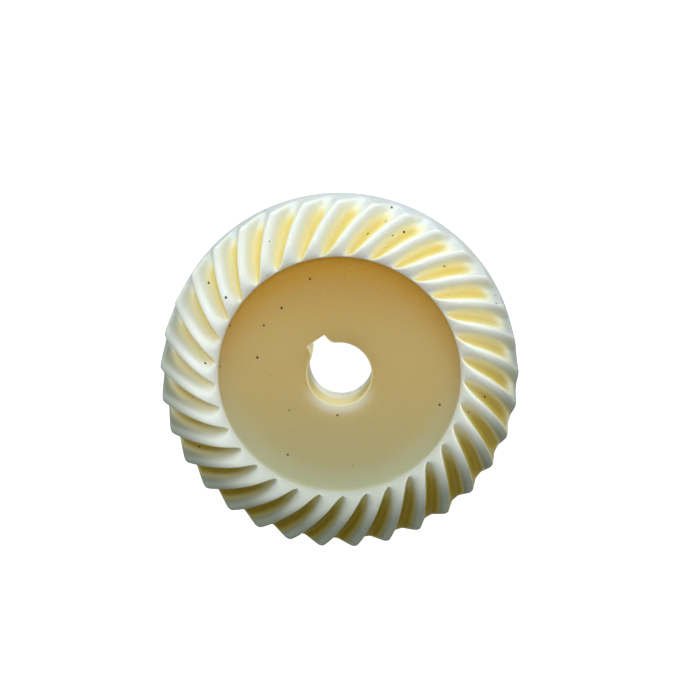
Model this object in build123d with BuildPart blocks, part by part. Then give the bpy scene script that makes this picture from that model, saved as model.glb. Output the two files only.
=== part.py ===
"""Spiral bevel gear, one solid nylon piece: wide flat toothed ring, shallow dished face,
keyed bore and a low hub boss on the back. Millimetres, axis on Z, teeth facing +Z,
origin on the axis at the back face of the hub boss, keyway towards +Y."""
from math import atan, cos, degrees, pi, radians, sin, tan
import os

from build123d import *

os.makedirs("parts", exist_ok=True)

# tooth data: three to one ratio, right hand spiral
tooth_count = 33
gear_ratio = 3.0
module = 2.0
spiral_angle = 35.0
steep_flank_angle = 10.0
easy_flank_angle = 29.0
addendum = 1.15
dedendum = 2.75
face_cone_spread = 2.3
heel_crest_angle = 0.2

# blank
rim_radius = 22.7
rim_height = 11.2
heel_tip_height = 11.85
heel_edge_round = 0.7
toe_corner_round = 3.0
back_radius = 33.2
back_height = 2.0
back_edge_round = 0.8

# dish, hub and bore
dish_depth = 1.3
dish_draft = 0.15
dish_corner_round = 0.5
mouth_radius = 10.0
mouth_depth = 0.45
bore_radius = 6.0
bore_chamfer = 0.3
boss_radius = 15.0
boss_chamfer = 0.5
key_width = 4.0
key_top_radius = 7.8

# tooth gap: width at the bottom as a share of the pitch, rounds at the heel end
root_share = 0.22
root_round = 0.85
steep_tip_round = 0.4
easy_tip_round = 1.2
tip_blend_angle = 14.0
tip_blend_drop = 0.09
outflow_start = 31.6
outflow_drop = 0.16
gap_overrun = 1.2
gap_headroom = 1.5
gap_stations = 6

# cones of the blank, angles measured from the axis
pitch_angle = degrees(atan(gear_ratio))
pitch_radius = module * tooth_count / 2
cone_distance = pitch_radius / sin(radians(pitch_angle))
root_angle = pitch_angle - degrees(atan(dedendum / cone_distance))
face_slope = 1 / tan(radians(pitch_angle + face_cone_spread))
root_slope = 1 / tan(radians(root_angle))
tip_radius = pitch_radius + addendum * cos(radians(pitch_angle))
heel_depth = (addendum + dedendum) * sin(radians(pitch_angle))
heel_root_radius = pitch_radius - dedendum * cos(radians(pitch_angle))
heel_root_height = heel_tip_height - heel_depth

# the toe ends of the teeth stand square to the pitch cone and start at the rim of the dish
toe_slope = tan(radians(pitch_angle))
face_above_rim = heel_tip_height + face_slope * (tip_radius - rim_radius) - rim_height
toe_radius = rim_radius + face_above_rim / (toe_slope + face_slope)
toe_height = rim_height + toe_slope * (toe_radius - rim_radius)

# dished floor, and the softly sunk mouth of the bore
floor_height = rim_height - dish_depth
floor_radius = rim_radius - dish_draft
mouth_height = floor_height - mouth_depth
mouth_edge = bore_radius + bore_chamfer
mouth_width = mouth_radius - mouth_edge
mouth_round = (mouth_width ** 2 + mouth_depth ** 2) / (2 * mouth_depth)
bore_top = mouth_height - bore_chamfer

# teeth lean by this many degrees for each millimetre of radius
mean_radius = (toe_radius + tip_radius) / 2
twist = degrees(tan(radians(spiral_angle)) / (mean_radius * sin(radians(pitch_angle))))
half_pitch_angle = 180 / tooth_count
lean_factor = sin(radians(pitch_angle)) / cos(radians(spiral_angle))
steep_lean = tan(radians(steep_flank_angle)) * lean_factor
easy_lean = tan(radians(easy_flank_angle)) * lean_factor


def gap_plane(radius):
    """Plane square to the radius, centred on one tooth gap."""
    angle = radians(heel_crest_angle + half_pitch_angle + twist * (tip_radius - radius))
    outward = Vector(cos(angle), sin(angle), 0)
    along = Vector(-sin(angle), cos(angle), 0)
    return Plane(origin=outward * radius, x_dir=along, z_dir=outward)


def root_height(radius):
    """Height of the gap bottom, rolling over softly at the heel."""
    straight = heel_root_height + root_slope * (heel_root_radius - radius)
    return straight - outflow_drop * max(0.0, radius - outflow_start) ** 2


# one tooth gap, lofted along the spiral
with BuildPart() as gap:
    first = rim_radius - gap_overrun
    step = (tip_radius + gap_overrun - first) / (gap_stations - 1)
    for station in range(gap_stations):
        radius = first + step * station
        size = radius / tip_radius
        circular_pitch = 2 * pi * radius / tooth_count
        top = heel_tip_height + face_slope * (tip_radius - radius)
        root = root_height(radius)
        root_half = root_share * circular_pitch / 2
        corner = top - tip_blend_drop * size
        half_width = root_half + (steep_lean + easy_lean) / 2 * heel_depth * size
        steep_root = steep_lean * heel_depth * size - half_width
        easy_root = half_width - easy_lean * heel_depth * size
        reach = 0.62 * circular_pitch
        reach_height = corner + (reach - half_width) * tan(radians(tip_blend_angle))
        with BuildSketch(gap_plane(radius)) as section:
            with BuildLine():
                Polyline(
                    (easy_root, root),
                    (half_width, corner),
                    (reach, reach_height),
                    (reach, top + gap_headroom),
                    (-reach, top + gap_headroom),
                    (-reach, reach_height),
                    (-half_width, corner),
                    (steep_root, root),
                    close=True,
                )
            make_face()
            for point, curve in (
                ((half_width, corner), easy_tip_round),
                ((-half_width, corner), steep_tip_round),
                ((easy_root, root), root_round),
                ((steep_root, root), root_round),
            ):
                fillet(section.vertices().sort_by_distance(point)[0], curve * size)
    loft()

with BuildPart() as gear:
    with BuildSketch(Plane.XZ) as blank:
        with BuildLine():
            Polyline(
                (mouth_edge, mouth_height),
                (bore_radius, bore_top),
                (bore_radius, bore_chamfer),
                (bore_radius + bore_chamfer, 0),
                (boss_radius - boss_chamfer, 0),
                (boss_radius, boss_chamfer),
                (boss_radius, back_height),
                (back_radius, back_height),
                (tip_radius, heel_tip_height),
                (toe_radius, toe_height),
                (rim_radius, rim_height),
                (floor_radius, floor_height),
                (mouth_radius, floor_height),
            )
            RadiusArc((mouth_radius, floor_height), (mouth_edge, mouth_height), -mouth_round)
        make_face()
        for point, size in (
            ((toe_radius, toe_height), toe_corner_round),
            ((tip_radius, heel_tip_height), heel_edge_round),
            ((back_radius, back_height), back_edge_round),
            ((floor_radius, floor_height), dish_corner_round),
        ):
            fillet(blank.vertices().sort_by_distance(point)[0], size)
    revolve(axis=Axis.Z)
    with PolarLocations(0, tooth_count):
        add(gap.part, mode=Mode.SUBTRACT)
    # keyway right through
    with BuildSketch():
        with Locations((0, key_top_radius / 2)):
            Rectangle(key_width, key_top_radius)
    extrude(amount=rim_height, mode=Mode.SUBTRACT)

gear.part.label = "spiral_bevel_gear"
export_step(gear.part, "parts/spiral_bevel_gear.step")
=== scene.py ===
"""Spiral bevel gear in moulded natural nylon, standing on its hub boss on a pale floor.

The visible mesh is one closed skin: a ring of rows that runs up the bore, across the dish,
over the teeth, down the outside and back under the gear. Sizes are in millimetres while the
skin is worked out, and metres once it becomes a mesh. Axis on Z, teeth up, keyway towards +Y.
"""

from math import atan, cos, degrees, hypot, pi, radians, sin, tan

import bpy
import numpy as np
from mathutils import Matrix, Vector


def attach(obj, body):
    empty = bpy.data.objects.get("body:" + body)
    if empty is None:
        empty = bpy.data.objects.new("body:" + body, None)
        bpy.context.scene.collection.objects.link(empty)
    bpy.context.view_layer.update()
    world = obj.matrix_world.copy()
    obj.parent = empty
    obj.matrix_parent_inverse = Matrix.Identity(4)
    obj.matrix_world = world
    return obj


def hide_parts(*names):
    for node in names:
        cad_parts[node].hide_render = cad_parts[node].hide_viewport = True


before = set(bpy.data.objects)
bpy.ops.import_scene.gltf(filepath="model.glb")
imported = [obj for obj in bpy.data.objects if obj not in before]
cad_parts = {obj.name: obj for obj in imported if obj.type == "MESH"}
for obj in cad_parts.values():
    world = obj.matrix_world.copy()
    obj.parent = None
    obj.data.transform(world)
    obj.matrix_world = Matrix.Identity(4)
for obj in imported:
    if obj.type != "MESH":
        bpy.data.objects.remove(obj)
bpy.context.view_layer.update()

# camera: aim point on the plane of the dish rim, then how the camera stands to it
aim_point = Vector((0.00456, 0.00306, 0.0112))
view_distance = 0.3709
view_tilt = 14.14
view_compass = 48.05
view_roll = -172.21
lens_length = 102.9

# direction in degrees, round the axis from +X, that the main lamps shine from
lamp_side = 55.6

# tooth data, as the solid has it
tooth_count = 33
gear_ratio = 3.0
tip_radius = 33.345
pitch_angle = degrees(atan(gear_ratio))
spiral_angle = 35.0
spiral_toe_radius = 23.87
spiral_heel_radius = 33.36
steep_flank_angle = 10.0
easy_flank_angle = 29.0
root_cone_angle = 67.03
face_cone_angle = 73.865
heel_crest_angle = 0.2
heel_tip_height = 11.84
heel_root_radius = 32.13
heel_root_height = 8.15
outflow_start = 31.6
outflow_drop = 0.16
root_share = 0.22
root_round = 0.85
heel_edge_round = 0.8

# softness of the crests, on the easy flank more than the solid has: the crest moves over
# towards the steep flank, and from the first of these radii to the second its rounds grow
steep_tip_round = 0.4
easy_tip_round = 2.6
heel_tip_round = 1.1
crest_shift = 0.45
narrowest_crest = 0.15
softening_radii = (30.0, 32.8)

# a gap shallower than this is drawn flatter and flatter, down to a plain surface at no depth
full_gap_depth = 1.6
least_depth = 1e-4

# where the painted gap shade starts and stops: across the gap, from -1 at the top of the steep
# flank to 1 at the top of the easy flank, and by its depth
steep_shade = (-1.06, -0.84)
easy_shade = (-0.70, 1.0)
shallow_shade = (-0.2, 0.4)

# dish, hub, bore and back
rim_radius = 22.7
rim_height = 11.2
rim_round = 0.14
toe_corner_round = 3.0
dish_depth = 1.3
dish_draft = 0.15
dish_corner_round = 0.5
mouth_radius = 10.0
mouth_depth = 0.45
witness_width = 0.1
witness_depth = 0.01
bore_radius = 6.0
bore_chamfer = 0.3
key_half_width = 2.0
key_top_radius = 7.8
key_corner_round = 0.12
key_blend_round = 2.0
boss_radius = 15.0
boss_chamfer = 0.5
back_height = 2.0
back_edge_round = 0.8
back_radius = 33.18
back_web = 0.3

# mesh: columns to one tooth pitch, and the steps that a quarter turn is rounded in
columns_per_tooth = 22
quarter_turn = (18.0, 36.0, 54.0, 72.0, 90.0)
columns = tooth_count * columns_per_tooth


def make_camera():
    """Camera at the viewing angle, rolled as it was held."""
    tilt = radians(view_tilt)
    compass = radians(view_compass)
    back = Vector((sin(tilt) * cos(compass), sin(tilt) * sin(compass), cos(tilt)))
    level = Vector((0, 0, 1)).cross(back).normalized()
    upright = back.cross(level)
    roll = radians(view_roll)
    right = level * cos(roll) + upright * sin(roll)
    up = back.cross(right)
    turn = Matrix((right, up, back)).transposed().to_4x4()
    data = bpy.data.cameras.new("camera")
    data.sensor_width = 36.0
    data.lens = lens_length
    data.clip_start = 0.01
    data.clip_end = 60.0
    camera = bpy.data.objects.new("camera", data)
    camera.matrix_world = Matrix.Translation(aim_point + back * view_distance) @ turn
    bpy.context.scene.collection.objects.link(camera)
    bpy.context.scene.camera = camera


make_camera()


# ---- cones and flanks, worked out from the tooth data -----------------------------------

mean_radius = (spiral_toe_radius + spiral_heel_radius) / 2
twist = tan(radians(spiral_angle)) / (mean_radius * sin(radians(pitch_angle)))
half_pitch = pi / tooth_count
face_slope = 1 / tan(radians(face_cone_angle))
root_slope = 1 / tan(radians(root_cone_angle))
toe_slope = tan(radians(pitch_angle))
lean_factor = sin(radians(pitch_angle)) / cos(radians(spiral_angle))
steep_lean = tan(radians(steep_flank_angle)) * lean_factor
easy_lean = tan(radians(easy_flank_angle)) * lean_factor
skew = (easy_lean - steep_lean) / 2

# ---- outlines ---------------------------------------------------------------------------


def smooth(low, high, value):
    """0 up to the low value, 1 from the high value on, and an easy curve between them."""
    share = np.clip((value - low) / (high - low), 0, 1)
    return share * share * (3 - 2 * share)


def rounded(points, rounds, steps, share=0.49):
    """Corner points joined by straight lines, each inner corner turned into an arc.

    An arc has this many steps, and takes up no more than this share of a line beside it.
    """
    shortest = 1e-6
    nearly_straight = 1.5695
    path = [points[0]]
    for before, corner, after, size in zip(points, points[1:], points[2:], rounds):
        back_x, back_y = before[0] - corner[0], before[1] - corner[1]
        on_x, on_y = after[0] - corner[0], after[1] - corner[1]
        back_length, on_length = hypot(back_x, back_y), hypot(on_x, on_y)
        if back_length < shortest or on_length < shortest or size <= 0:
            path.append(corner)
            continue
        back_x, back_y = back_x / back_length, back_y / back_length
        on_x, on_y = on_x / on_length, on_y / on_length
        half = 0.5 * np.arccos(np.clip(back_x * on_x + back_y * on_y, -1, 1))
        if half > nearly_straight:
            path.append(corner)
            continue
        reach = min(size / tan(half), share * back_length, share * on_length)
        size = reach * tan(half)
        inner_x, inner_y = back_x + on_x, back_y + on_y
        inner_length = hypot(inner_x, inner_y)
        centre_x = corner[0] + inner_x / inner_length * size / sin(half)
        centre_y = corner[1] + inner_y / inner_length * size / sin(half)
        start = np.arctan2(
            corner[1] + back_y * reach - centre_y,
            corner[0] + back_x * reach - centre_x,
        )
        end = np.arctan2(
            corner[1] + on_y * reach - centre_y,
            corner[0] + on_x * reach - centre_x,
        )
        turn = (end - start + pi) % (2 * pi) - pi
        for step in range(steps + 1):
            angle = start + turn * step / steps
            path.append((centre_x + size * cos(angle), centre_y + size * sin(angle)))
    path.append(points[-1])
    return np.array(path)


def spread(path, count, bend_weight):
    """count + 1 points along the path, closer together where it bends."""
    steps = np.diff(path, axis=0)
    length = np.hypot(steps[:, 0], steps[:, 1])
    heading = np.unwrap(np.arctan2(steps[:, 1], steps[:, 0]))
    bend = np.abs(np.diff(heading))
    weight = length.copy()
    weight[:-1] += bend * bend_weight / 2
    weight[1:] += bend * bend_weight / 2
    along = np.concatenate(([0], np.cumsum(weight)))
    wanted = np.linspace(0, along[-1], count + 1)
    return np.column_stack([np.interp(wanted, along, path[:, k]) for k in (0, 1)])


def half_outline(pitch, size, depth, lean, tip_round, widen, soft):
    """From the middle of the gap up one flank onto the tooth. The top is at zero.

    The two halves of a tooth meet near its steep edge, so that the easy flank has most of the top.
    """
    share = min(1.0, depth / full_gap_depth)
    both = (steep_lean + easy_lean) / 2
    corner = root_share * pitch / 2 * share + both * depth + widen
    side = 1 if lean > both else -1
    end = pitch / 2 + side * crest_shift * size * share
    corner = min(corner, end - narrowest_crest)
    points = [
        (-side * (easy_lean - steep_lean) / 2 * depth, -depth),
        (corner - lean * depth, -depth),
        (corner, 0.0),
        (end, 0.0),
    ]
    top_round = tip_round + (max(tip_round, heel_tip_round) - tip_round) * soft
    path = rounded(points, (root_round * size, top_round * size), steps=10, share=0.95)
    bent = spread(path, columns_per_tooth // 2, bend_weight=0.9)
    flat = np.linspace(0, pitch / 2, columns_per_tooth // 2 + 1)
    level = np.column_stack((flat, np.interp(flat, path[:, 0], path[:, 1])))
    return level + (bent - level) * share


def tooth_outline(radius, top, root, sunk, widen=0.0):
    """One pitch of the toothed ring square to the radius, from crest to crest, gap in the middle.

    sunk is how far the crests lie below the face cone, and widen opens the gap at the top.
    The third value of each point is the painted gap shade, 0 on the crests to 1.
    """
    pitch = 2 * pi * radius / tooth_count
    size = radius / tip_radius
    depth = max(top - root, least_depth)
    soft = smooth(*softening_radii, radius)
    easy = half_outline(pitch, size, depth, easy_lean, easy_tip_round, widen, soft)
    steep = half_outline(pitch, size, depth, steep_lean, steep_tip_round, widen, soft)
    outline = np.vstack((steep[::-1] * (-1, 1), easy[1:]))[:-1]
    share = min(1.0, depth / full_gap_depth)
    half_gap = root_share * pitch / 2 * share + (steep_lean + easy_lean) / 2 * depth
    across = outline[:, 0] / half_gap
    tone = smooth(*steep_shade, across) * (1 - smooth(*easy_shade, across))
    tone = tone * smooth(*shallow_shade, depth)
    return np.column_stack((outline[:, 0] - skew * sunk, outline[:, 1] + top, tone))


# ---- rows of the skin -------------------------------------------------------------------


class Skin:
    """Rows of points round the axis, each joined to the next, and the last to the first.

    A point has three tones: painted shade in a gap or the bore, how much it is part of the
    dish or the back rather than of the teeth, and painted shade towards the foot of the dish wall.
    """

    def __init__(self):
        self.points = []
        self.tones = []
        self.orders = []
        self.last_shift = 0

    def add(self, angle, radius, height, recess_shade=0.0, web=0.0, corner=0.0, shift=0):
        ones = np.ones(columns)
        radius = radius * ones
        height = height * ones
        start = len(self.points) * columns
        self.points.append(np.column_stack((radius * np.cos(angle), radius * np.sin(angle), height)))
        self.tones.append(np.column_stack((recess_shade * ones, web * ones, corner * ones)))
        self.orders.append(np.roll(start + np.arange(columns), -shift))

    def faces(self):
        following = self.orders[1:] + [np.roll(self.orders[0], -self.last_shift)]
        quads = []
        for here, there in zip(self.orders, following):
            quads.append(np.column_stack((here, there, np.roll(there, -1), np.roll(here, -1))))
        return np.vstack(quads)


def gap_angle(radius):
    """Angle of the first tooth gap at this radius."""
    return radians(heel_crest_angle) + half_pitch + twist * (spiral_heel_radius - radius)


def face_height(radius):
    return heel_tip_height + face_slope * (tip_radius - radius)


def root_height(radius):
    straight = heel_root_height + root_slope * (heel_root_radius - radius)
    return straight - outflow_drop * max(0.0, radius - outflow_start) ** 2


def wall_radius(height):
    """Radius of the outer wall, which leans out a little towards the teeth."""
    lean_out = tip_radius - back_radius
    wall_height = heel_tip_height - back_height
    return back_radius + lean_out * (height - back_height) / wall_height


def tooth_angles(radius, outline):
    """Angle of every column, for an outline repeated for every tooth."""
    first = gap_angle(radius) + outline[:, 0] / radius
    turns = np.arange(tooth_count)[:, None] * 2 * half_pitch
    return (first[None, :] + turns).ravel()


def bore_outline(angle, grow):
    """Radius of the bore and its keyway in each direction."""
    facing_limit = 0.3
    least = 1e-6
    from_key = angle - pi / 2
    side = (key_half_width + grow) / np.maximum(np.abs(np.sin(from_key)), least)
    roof = (key_top_radius + grow) / np.maximum(np.cos(from_key), least)
    gap = np.clip(0.5 + 0.5 * (roof - side) / (2 * key_corner_round), 0, 1)
    slot = side * gap + roof * (1 - gap) - 2 * key_corner_round * gap * (1 - gap)
    slot = np.where(np.cos(from_key) > facing_limit, slot, 0)
    gap = np.clip(0.5 + 0.5 * (slot - bore_radius - grow) / key_blend_round, 0, 1)
    return slot * gap + (bore_radius + grow) * (1 - gap) + key_blend_round * gap * (1 - gap)


floor_height = rim_height - dish_depth
crown_end = tip_radius - heel_edge_round
mouth_span = mouth_radius - bore_radius - bore_chamfer
mouth_bend = (mouth_span ** 2 + mouth_depth ** 2) / (2 * mouth_depth)


def dish_height(radius):
    """Height of the dished floor, sinking softly towards the bore."""
    inward = np.clip(mouth_radius - radius, 0, None)
    sunk = mouth_bend - np.sqrt(mouth_bend ** 2 - inward ** 2)
    mark = witness_depth * np.clip(1 - np.abs(radius - mouth_radius) / witness_width, 0, 1)
    return floor_height - sunk - mark


# directions of the columns in the dish, in step with the teeth at its rim
rim_lean = skew * (face_height(rim_radius) - rim_height) / rim_radius
dish_phase = gap_angle(rim_radius) - half_pitch - rim_lean
dish_angles = dish_phase + np.arange(columns) * 2 * pi / columns

# upper edge of the bore, rounded over less in the keyway
key_side_turns = (radians(19.5), radians(21.5))
key_edge_loss = 0.55
in_key = 1 - smooth(*key_side_turns, np.abs(dish_angles % (2 * pi) - pi / 2))
edge = bore_chamfer * (1 - key_edge_loss * in_key)
wall = bore_outline(dish_angles, 0.0)
lip = wall + edge * (bore_outline(dish_angles, 1.0) - wall)
wall_top = dish_height(lip) - edge

# painted light: the mouth is paler on the side of the bore away from the lamps, where its slope faces them
painted_glow = 0.6 * smooth(0.2, 1.0, -np.cos(dish_angles - radians(lamp_side)))


def add_bore(skin):
    """Bore wall, upwards, and its rounded upper edge."""
    wall_shade = (0.1, 0.65)
    bore_wall_shade = 1.1
    bore_edge_shade = 0.9
    # painted shade on the bore wall: amber towards its upper edge, light towards its lower edge
    for share in (0.0, 0.04, 0.3, 0.6, 0.9, 0.985):
        height = bore_chamfer + (wall_top - bore_chamfer) * share
        skin.add(dish_angles, wall, height, bore_wall_shade * smooth(*wall_shade, share))
    # over the rounded upper edge the painted shade fades out and the dish tones take over
    for turn in (0.0, 30.0, 60.0, 90.0):
        out = 1 - cos(radians(turn))
        rise = sin(radians(turn))
        recess_shade = bore_edge_shade - bore_edge_shade * out
        skin.add(dish_angles, wall + (lip - wall) * out, wall_top + edge * rise, recess_shade, out * (1 - painted_glow))


def add_dish(skin):
    """Sunk mouth, witness line and floor of the dish, then its wall and rim."""
    mouth_edge = mouth_radius - witness_width
    for share in (0.03, 0.12, 0.28, 0.45, 0.62, 0.79, 0.93):
        radius = lip + (mouth_edge - lip) * share
        # painted light on the mouth, fading out on the way to the witness line
        web = 1.0 - painted_glow * (1 - smooth(0.0, 0.6, share))
        skin.add(dish_angles, radius, dish_height(radius), 0.0, web)

    foot_shade = (16.5, 22.3)
    witness_rows = (9.9, 9.96, 10.04, 10.1)
    floor_rows = (10.4, 12.0, 14.0, 16.0, 17.5, 18.8, 20.0, 20.9, 21.5)
    for radius in witness_rows + floor_rows:
        # painted shadow towards the foot of the dish wall
        corner = smooth(*foot_shade, radius)
        skin.add(dish_angles, radius, float(dish_height(radius)), 0.0, 1.0, corner)

    foot_start = 21.8
    past_rim = 0.3
    # up the wall the painted foot shadow and the dish colours give way to the tooth colours
    rim_web = (0.7, 1.0)
    rim_corner = (0.55, 1.0)
    dish_points = [
        (foot_start, floor_height),
        (rim_radius - dish_draft, floor_height),
        (rim_radius, rim_height),
        (rim_radius + past_rim, rim_height + past_rim * toe_slope),
    ]
    path = rounded(dish_points, (dish_corner_round, rim_round), steps=4)
    for radius, height in path[:-1]:
        up = (height - floor_height) / dish_depth
        skin.add(dish_angles, radius, height, 0.0, 1 - smooth(*rim_web, up), 1 - smooth(*rim_corner, up))


def add_teeth(skin):
    """Teeth: up the toe ends, over the rounded toe corner, out along the tips."""
    first_row = 0.22
    toe_rows = 19
    tip_rows = 24
    toe_reach = heel_tip_height + face_slope * (tip_radius - rim_radius) - rim_height
    toe_radius = rim_radius + toe_reach / (toe_slope + face_slope)
    toe_height = rim_height + toe_slope * (toe_radius - rim_radius)
    crown = [(rim_radius, rim_height), (toe_radius, toe_height), (crown_end, face_height(crown_end))]
    path = rounded(crown, (toe_corner_round,), steps=40, share=0.95)
    lengths = np.concatenate(([0], np.cumsum(np.hypot(*np.diff(path, axis=0).T))))
    toe_stops = np.linspace(first_row, lengths[-2], toe_rows)
    tip_stops = np.linspace(lengths[-2], lengths[-1], tip_rows)[1:]
    for stop in np.concatenate((toe_stops, tip_stops)):
        radius = float(np.interp(stop, lengths, path[:, 0]))
        top = float(np.interp(stop, lengths, path[:, 1]))
        outline = tooth_outline(radius, top, root_height(radius), face_height(radius) - top)
        angles = tooth_angles(radius, outline)
        heights = np.tile(outline[:, 1], tooth_count)
        skin.add(angles, radius, heights, np.tile(outline[:, 2], tooth_count))


def add_heel(skin):
    """Heel: the whole tooth outline rolls over the edge, and the gaps open a little."""
    gap_opening = 0.7
    shade_loss = 0.9
    for turn in quarter_turn:
        inset = heel_edge_round * (1 - cos(radians(turn)))
        radius = crown_end + heel_edge_round * sin(radians(turn))
        root = root_height(radius) - gap_opening * inset
        outline = tooth_outline(crown_end, face_height(crown_end) - inset, root, inset, gap_opening * inset)
        heights = np.tile(outline[:, 1], tooth_count)
        reach = crown_end + (wall_radius(heights) - crown_end) * sin(radians(turn))
        angles = tooth_angles(crown_end, outline) - twist * (reach - crown_end)
        recess_shade = np.tile(outline[:, 2], tooth_count) * (1 - shade_loss * turn / 90)
        skin.add(angles, reach, heights, recess_shade)
    return angles, heights


def add_back(skin, angles, heights, even):
    """Outer wall, back edge and back face, the columns evening out on the way."""
    evened = 0.5
    for share in (0.06, 0.3, 0.65, 1.0):
        height = heights + (back_height + back_edge_round - heights) * share
        skin.add(angles + (even - angles) * share * evened, wall_radius(height), height)
    for turn in quarter_turn:
        radius = back_radius - back_edge_round * (1 - cos(radians(turn)))
        height = back_height + back_edge_round * (1 - sin(radians(turn)))
        skin.add(angles + (even - angles) * evened, radius, height)
    for radius in (32.2, 30.0, 24.0, 18.0, 15.6):
        skin.add(even, radius, back_height, 0.0, back_web)


def add_boss(skin, shift):
    """Hub boss and the lower edge of the bore."""
    outer_end = 15.5
    inner_end = 14.0
    foot_round = 0.25
    # painted shade on the boss and in the corner at its foot
    boss_foot_shade = 0.2
    boss = [
        (outer_end, back_height),
        (boss_radius, back_height),
        (boss_radius, 0.0),
        (inner_end, 0.0),
    ]
    path = rounded(boss, (foot_round, boss_chamfer), steps=4)
    for radius, height in path[1:-1]:
        skin.add(dish_angles, radius, height, 0.0, back_web, boss_foot_shade, shift)
    for radius in (14.3, 11.0, 8.6):
        skin.add(dish_angles, radius, 0.0, 0.0, back_web, 0.0, shift)
    for turn in (90.0, 60.0, 30.0):
        out = 1 - cos(radians(turn))
        sink = bore_chamfer * (1 - sin(radians(turn)))
        skin.add(dish_angles, wall + (lip - wall) * out, sink, 0.0, back_web, 0.0, shift)


def build_skin():
    skin = Skin()
    add_bore(skin)
    add_dish(skin)
    add_teeth(skin)
    angles, heights = add_heel(skin)
    even = angles[0] + np.arange(columns) * 2 * pi / columns
    add_back(skin, angles, heights, even)
    # the boss is on columns that line up with the bore again
    skin.last_shift = int(round((even[0] - dish_angles[0]) / (2 * pi / columns)))
    add_boss(skin, skin.last_shift)
    return skin


def make_gear():
    skin = build_skin()
    points = np.vstack(skin.points) * 0.001
    tones = np.vstack(skin.tones)
    quads = skin.faces()
    mesh = bpy.data.meshes.new("gear_skin")
    mesh.from_pydata(points.tolist(), [], quads.tolist())
    mesh.update()
    mesh.polygons.foreach_set("use_smooth", np.ones(len(mesh.polygons), bool))
    for name, column in (("recess_shade", 0), ("web", 1), ("corner", 2)):
        layer = mesh.attributes.new(name, "FLOAT", "POINT")
        layer.data.foreach_set("value", np.ascontiguousarray(tones[:, column], np.float32))
    mesh.validate()
    gear = bpy.data.objects.new("gear_skin", mesh)
    bpy.context.scene.collection.objects.link(gear)
    return gear


# ---- nylon ----------------------------------------------------------------------------


class Nodes:
    """Small helper that adds nodes to a material and links them."""

    def __init__(self, material):
        material.use_nodes = True
        self.tree = material.node_tree
        self.tree.nodes.clear()

    def add(self, kind, **settings):
        node = self.tree.nodes.new(kind)
        for name, value in settings.items():
            setattr(node, name, value)
        return node

    def link(self, source, target):
        self.tree.links.new(source, target)

    def attribute(self, name):
        return self.add("ShaderNodeAttribute", attribute_name=name).outputs["Fac"]

    def noise(self, place, scale, detail, roughness=0.5):
        node = self.add("ShaderNodeTexNoise")
        self.link(place, node.inputs["Vector"])
        node.inputs["Scale"].default_value = scale
        node.inputs["Detail"].default_value = detail
        node.inputs["Roughness"].default_value = roughness
        return node.outputs["Fac"]

    def fit(self, value, low, high, out_low=0.0, out_high=1.0, soft=True):
        node = self.add("ShaderNodeMapRange")
        node.interpolation_type = "SMOOTHSTEP" if soft else "LINEAR"
        self.link(value, node.inputs["Value"])
        node.inputs["From Min"].default_value = low
        node.inputs["From Max"].default_value = high
        node.inputs["To Min"].default_value = out_low
        node.inputs["To Max"].default_value = out_high
        return node.outputs["Result"]

    def math(self, how, first, second):
        node = self.add("ShaderNodeMath", operation=how)
        for value, socket in ((first, node.inputs[0]), (second, node.inputs[1])):
            if isinstance(value, (int, float)):
                socket.default_value = value
            else:
                self.link(value, socket)
        return node.outputs[0]

    def mix(self, share, first, second, how="MIX"):
        node = self.add("ShaderNodeMix", data_type="RGBA", blend_type=how)
        self.link(share, node.inputs["Factor"])
        for value, socket in ((first, node.inputs[6]), (second, node.inputs[7])):
            if isinstance(value, tuple):
                socket.default_value = (*value, 1.0)
            else:
                self.link(value, socket)
        return node.outputs[2]


# ivory nylon with painted light and shade: the amber in the gaps, the bore and the dish is painted
# shade; the teeth's colours come in copies lit towards the lamp side and shaded away from it, and
# the dish is painted amber on the lamp side as the shadow of the toothed ring, and lit on the far side
crest_lit = (0.80, 0.83, 0.80)
crest_shaded = (0.24, 0.275, 0.23)
flank_lit = (0.93, 0.91, 0.70)
flank_shaded = (0.38, 0.35, 0.10)
gap_lit = (0.90, 0.72, 0.18)
gap_shaded = (0.33, 0.24, 0.0)
web_shadowed = (0.53, 0.30, 0.042)
web_mid = (0.57, 0.42, 0.155)
web_lit = (0.48, 0.43, 0.225)
foot_shadowed = (0.62, 0.33, 0.005)
foot_lit = (0.50, 0.51, 0.335)
grain_colour = (0.62, 0.58, 0.42)
speck_colour = (0.10, 0.07, 0.03)

# radii, in millimetres, between which a colour changes
teeth_span = (25.0, 33.3)
fading_span = (30.0, 33.4)
growing_span = (23.2, 30.0)
bore_span = (10.0, 20.0)

# noise, in cycles to a metre
cloud_scale = 120.0
grain_scale = 2600.0
speck_scale = 330.0
sparse_scale = 260.0


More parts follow.
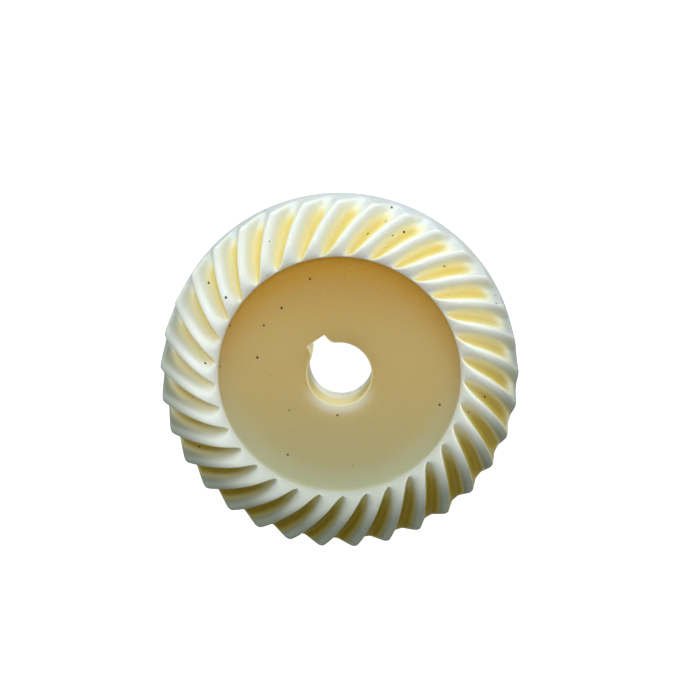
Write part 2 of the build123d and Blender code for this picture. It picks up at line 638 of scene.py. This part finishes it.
def make_nylon():
    material = bpy.data.materials.new("nylon")
    nodes = Nodes(material)
    place = nodes.add("ShaderNodeTexCoord").outputs["Object"]
    recess_shade = nodes.attribute("recess_shade")
    web = nodes.attribute("web")
    corner = nodes.attribute("corner")

    cloud = nodes.noise(place, cloud_scale, 3.0)
    grain = nodes.noise(place, grain_scale, 2.0, 0.6)
    uneven = nodes.math("MULTIPLY", nodes.math("SUBTRACT", cloud, 0.5), 0.25)
    # how far towards the lamp side, about -1 to 1, then the radius in millimetres, and how far
    # out along the teeth, 0 to 1
    across = nodes.add("ShaderNodeVectorMath", operation="DOT_PRODUCT")
    nodes.link(place, across.inputs[0])
    side_scale = 30.0
    turn = radians(lamp_side)
    across.inputs[1].default_value = (cos(turn) * side_scale, sin(turn) * side_scale, 0.0)
    side = across.outputs["Value"]
    flat = nodes.add("ShaderNodeVectorMath", operation="MULTIPLY")
    nodes.link(place, flat.inputs[0])
    flat.inputs[1].default_value = (1000.0, 1000.0, 0.0)
    length = nodes.add("ShaderNodeVectorMath", operation="LENGTH")
    nodes.link(flat.outputs["Vector"], length.inputs[0])
    radius = length.outputs["Value"]
    outward = nodes.fit(radius, *teeth_span)

    # painted shade: the amber in the gaps fades out towards the heel on the lamp side, grows
    # towards it on the other side, and is full in the bore
    warm = nodes.fit(side, -0.9, 0.2)
    fading = nodes.fit(radius, *fading_span, 0.88, 0.0)
    growing = nodes.fit(radius, *growing_span, 0.5, 2.0)
    growing = nodes.math("MULTIPLY", growing, nodes.math("SUBTRACT", 1.0, warm))
    amber = nodes.math("ADD", growing, nodes.math("MULTIPLY", fading, warm))
    bore = nodes.fit(radius, *bore_span, 1.0, 0.0)
    amber = nodes.math("MAXIMUM", amber, bore)
    # painted shade amount in the gaps and the bore: the recess tone, with random unevenness, times the
    # amber pattern
    depth = nodes.math("MULTIPLY", recess_shade, nodes.math("ADD", uneven, amber))

    # painted light and shade on the teeth: crests, flanks and gaps lit on the lamp side and shaded away
    # from it, the crests also shaded out towards the heel
    fade = nodes.fit(nodes.math("SUBTRACT", side, outward), -1.55, 0.05)
    crest = nodes.mix(fade, crest_shaded, crest_lit)
    flank = nodes.mix(nodes.fit(side, -0.95, 0.1), flank_shaded, flank_lit)
    gap = nodes.mix(nodes.fit(side, -0.95, 0.6), gap_shaded, gap_lit)
    # painted light and shadow on the dish floor and at the foot of its wall: amber in the shadow of the
    # toothed ring on the lamp side, lighter where lit on the far side
    floor = nodes.mix(nodes.fit(side, -0.7, 0.1), web_lit, web_mid)
    floor = nodes.mix(nodes.fit(side, 0.1, 0.75), floor, web_shadowed)
    foot = nodes.mix(nodes.fit(side, -0.7, 0.7), foot_lit, foot_shadowed)

    # the recess shade turns the crest colour into the flank and then the gap colour; the dish and the back
    # take the floor colours
    colour = nodes.mix(nodes.fit(depth, 0.08, 0.55), crest, flank)
    colour = nodes.mix(nodes.fit(depth, 0.45, 1.02), colour, gap)
    colour = nodes.mix(web, colour, nodes.mix(corner, floor, foot))

    # fine mottling, and a few dark specks moulded in
    mottle = nodes.fit(grain, 0.3, 0.7, 0.0, 0.12)
    colour = nodes.mix(mottle, colour, grain_colour)
    cells = nodes.add("ShaderNodeTexVoronoi", feature="F1")
    nodes.link(place, cells.inputs["Vector"])
    cells.inputs["Scale"].default_value = speck_scale
    rare = nodes.noise(place, sparse_scale, 0.0)
    reach = nodes.fit(rare, 0.40, 0.70, 0.0, 0.10)
    beyond = nodes.math("SUBTRACT", cells.outputs["Distance"], reach)
    speck = nodes.fit(beyond, -0.02, 0.01, 1.0, 0.0)
    colour = nodes.mix(speck, colour, speck_colour)

    shader = nodes.add("ShaderNodeBsdfPrincipled")
    nodes.link(colour, shader.inputs["Base Color"])
    nodes.link(nodes.fit(cloud, 0.3, 0.7, 0.34, 0.44), shader.inputs["Roughness"])
    shader.inputs["IOR"].default_value = 1.53
    shader.inputs["Specular IOR Level"].default_value = 0.22
    shader.inputs["Subsurface Weight"].default_value = 1.0
    shader.inputs["Subsurface Radius"].default_value = (1.0, 0.8, 0.4)
    shader.inputs["Subsurface Scale"].default_value = 0.0008

    bump = nodes.add("ShaderNodeBump")
    bump.inputs["Strength"].default_value = 0.25
    bump.inputs["Distance"].default_value = 0.00004
    nodes.link(grain, bump.inputs["Height"])
    nodes.link(bump.outputs["Normal"], shader.inputs["Normal"])

    out = nodes.add("ShaderNodeOutputMaterial")
    nodes.link(shader.outputs[0], out.inputs["Surface"])
    return material


gear = make_gear()
gear.data.materials.append(make_nylon())
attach(gear, "root")
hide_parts("spiral_bevel_gear")

# ---- floor and light --------------------------------------------------------------------


def make_floor_paint():
    """Plain grey that shines by itself, so that hardly any shading shows on it."""
    material = bpy.data.materials.new("floor")
    nodes = Nodes(material)
    shader = nodes.add("ShaderNodeBsdfPrincipled")
    shader.inputs["Base Color"].default_value = (0.5, 0.5, 0.5, 1)
    shader.inputs["Roughness"].default_value = 0.9
    shader.inputs["Specular IOR Level"].default_value = 0.0
    shader.inputs["Emission Color"].default_value = (1, 1, 1, 1)
    shader.inputs["Emission Strength"].default_value = 0.88
    out = nodes.add("ShaderNodeOutputMaterial")
    nodes.link(shader.outputs[0], out.inputs["Surface"])
    material.cycles.emission_sampling = "NONE"
    return material


def make_stage():
    """Round floor that curves up into a backdrop on every side. It adds no light to the gear."""
    turns = 64
    rings = [(0.0, 0.0), (0.3, 0.0), (0.8, 0.0), (1.1, 0.08), (1.3, 0.3), (1.35, 1.2)]
    points = []
    faces = []
    for radius, height in rings:
        for turn in range(turns):
            angle = 2 * pi * turn / turns
            points.append((radius * cos(angle), radius * sin(angle), height))
    for ring in range(len(rings) - 1):
        for turn in range(turns):
            after = (turn + 1) % turns
            low, up = ring * turns, (ring + 1) * turns
            faces.append((low + turn, up + turn, up + after, low + after))
    mesh = bpy.data.meshes.new("floor")
    mesh.from_pydata(points, [], faces)
    mesh.polygons.foreach_set("use_smooth", np.ones(len(mesh.polygons), bool))
    mesh.materials.append(make_floor_paint())
    floor = bpy.data.objects.new("floor", mesh)
    bpy.context.scene.collection.objects.link(floor)
    floor.visible_diffuse = False
    floor.visible_glossy = False
    floor.visible_shadow = False


def soft_light(name, compass, height, distance, size, strength, colour):
    """Round soft light that faces the gear. Compass and height are in degrees, size in metres."""
    turn = radians(compass)
    rise = radians(height)
    out = Vector((cos(rise) * cos(turn), cos(rise) * sin(turn), sin(rise)))
    data = bpy.data.lights.new(name, "AREA")
    data.shape = "DISK"
    data.size = size
    data.energy = strength
    data.color = colour
    lamp = bpy.data.objects.new(name, data)
    lamp.location = out * distance + Vector((0, 0, 0.01))
    lamp.rotation_mode = "QUATERNION"
    lamp.rotation_quaternion = out.to_track_quat("Z", "Y")
    lamp.visible_camera = False
    bpy.context.scene.collection.objects.link(lamp)


def make_world(strength, colour):
    world = bpy.data.worlds.new("world")
    world.use_nodes = True
    background = world.node_tree.nodes["Background"]
    background.inputs["Color"].default_value = (*colour, 1)
    background.inputs["Strength"].default_value = strength
    bpy.context.scene.world = world


make_stage()

# name, compass, height, distance, size, strength and colour
soft_light("low_window", lamp_side, 10.0, 0.20, 0.14, 0.08, (0.56, 0.80, 1.0))
soft_light("key", lamp_side, 25.0, 0.20, 0.14, 0.10, (0.98, 0.98, 0.95))
soft_light("overhead", lamp_side, 70.0, 0.25, 0.16, 0.16, (1.0, 0.96, 0.84))
soft_light("under_bore", lamp_side, -90.0, 0.06, 0.02, 0.0045, (0.97, 1.0, 0.86))
soft_light("left", lamp_side + 60.0, 30.0, 0.20, 0.14, 0.07, (0.9, 0.97, 1.0))
soft_light("right", lamp_side - 60.0, 30.0, 0.20, 0.14, 0.11, (0.90, 0.96, 1.0))
make_world(0.40, (0.94, 0.98, 1.0))

settings = bpy.context.scene.view_settings
settings.view_transform = "Standard"
